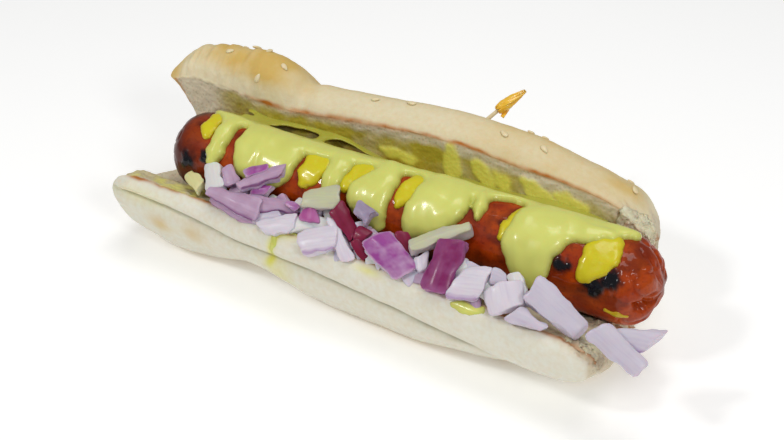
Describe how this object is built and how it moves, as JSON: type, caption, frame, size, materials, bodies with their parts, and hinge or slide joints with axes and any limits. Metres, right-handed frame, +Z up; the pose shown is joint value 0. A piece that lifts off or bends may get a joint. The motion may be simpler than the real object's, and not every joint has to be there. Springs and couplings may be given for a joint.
{
  "type": "hot dog",
  "caption": "Grilled sausage in an opened sesame bun, under mustard sauce with chopped red onion along its front and a frilled cocktail pick behind.",
  "frame": {"origin": "centre of the bounding box in plan, on the flat underside of the bun", "axes": "+X along the bun, from the end where the sausage sits inside the bun to the end where it shows; +Y from the low front lip towards the tall back half; +Z up"},
  "size_m": [0.1802, 0.0842, 0.0576],
  "materials": {
    "bun_crust": "soft baked crust, matt",
    "sausage_skin": "grilled skin, oily gloss",
    "sauce": "thick wet sauce",
    "mustard": "wet mustard",
    "onion_pale": "wet cut onion",
    "onion_lilac": "wet cut onion",
    "onion_purple": "onion skin side, satin",
    "pick_wood": "plain sanded wood",
    "pick_film": "coloured film"
  },
  "bodies": {
    "root": {"bun": "bun_crust", "mustard_1": "mustard", "mustard_2": "mustard", "mustard_3": "mustard", "mustard_4": "mustard", "mustard_5": "mustard", "mustard_6": "mustard", "onion_dark_1": "onion_purple", "onion_dark_2": "onion_purple", "onion_dark_3": "onion_purple", "onion_dark_4": "onion_purple", "onion_gold_1": "onion_pale", "onion_grey_1": "onion_pale", "onion_grey_2": "onion_pale", "onion_lilac_1": "onion_lilac", "onion_lilac_2": "onion_lilac", "onion_lilac_3": "onion_lilac", "onion_lilac_4": "onion_lilac", "onion_lilac_5": "onion_lilac", "onion_lilac_6": "onion_lilac", "onion_lilac_7": "onion_lilac", "onion_lilac_8": "onion_lilac", "onion_lilac_9": "onion_lilac", "onion_pale_1": "onion_pale", "onion_pink_1": "onion_lilac", "onion_pink_2": "onion_lilac", "onion_plum_1": "onion_purple", "onion_purple_1": "onion_purple", "onion_purple_2": "onion_purple", "onion_purple_3": "onion_purple", "onion_purple_4": "onion_purple", "onion_slate_1": "onion_lilac", "onion_white_1": "onion_pale", "onion_white_2": "onion_pale", "onion_white_3": "onion_pale", "onion_white_4": "onion_pale", "onion_white_5": "onion_pale", "onion_white_6": "onion_pale", "pick_frill": "pick_film", "pick_stick": "pick_wood", "sauce": "sauce", "sausage": "sausage_skin"}
  },
  "joints": []
}
